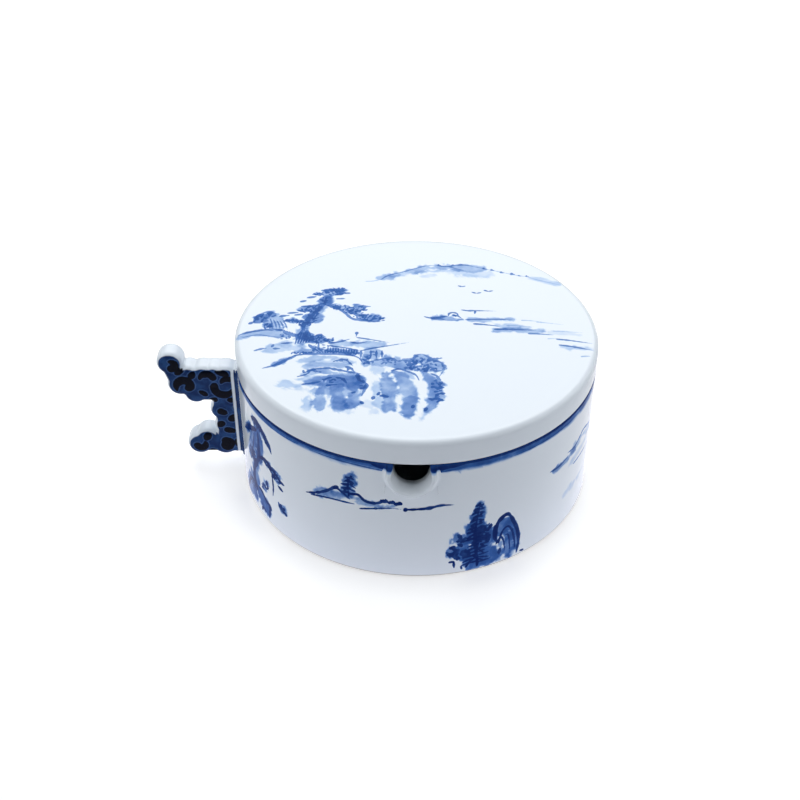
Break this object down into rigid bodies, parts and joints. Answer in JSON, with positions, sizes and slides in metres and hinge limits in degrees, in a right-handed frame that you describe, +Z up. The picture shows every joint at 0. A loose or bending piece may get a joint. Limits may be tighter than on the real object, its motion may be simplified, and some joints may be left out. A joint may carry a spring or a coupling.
{
  "type": "porcelain trinket box",
  "caption": "Round porcelain box with a lift-off lid, a pouring notch and lip in the rim, and a scalloped cloud-shaped side handle.",
  "frame": {"origin": "on the round box's axis, in the plane of the foot ring that it stands on", "axes": "+Z up along the box's axis, -Y towards the pouring notch, -X towards the handle"},
  "size_m": [0.1475, 0.123, 0.055],
  "materials": {
    "painted_porcelain": "glossy glaze over brushed cobalt painting",
    "white_porcelain": "glossy white glaze",
    "cobalt_porcelain": "glossy glaze over a cobalt ground with dark scrolls",
    "bare_porcelain": "matt unglazed porcelain"
  },
  "bodies": {
    "box": {"body": "painted_porcelain", "pouring_lip": "white_porcelain", "handle": "cobalt_porcelain"},
    "lid": {"lid": "painted_porcelain", "locating_ring": "bare_porcelain"}
  },
  "joints": [
    {"name": "lid_lift", "type": "slide", "parent": "box", "child": "lid", "axis": [0, 0, 1], "range_m": [0, 0.06]}
  ]
}
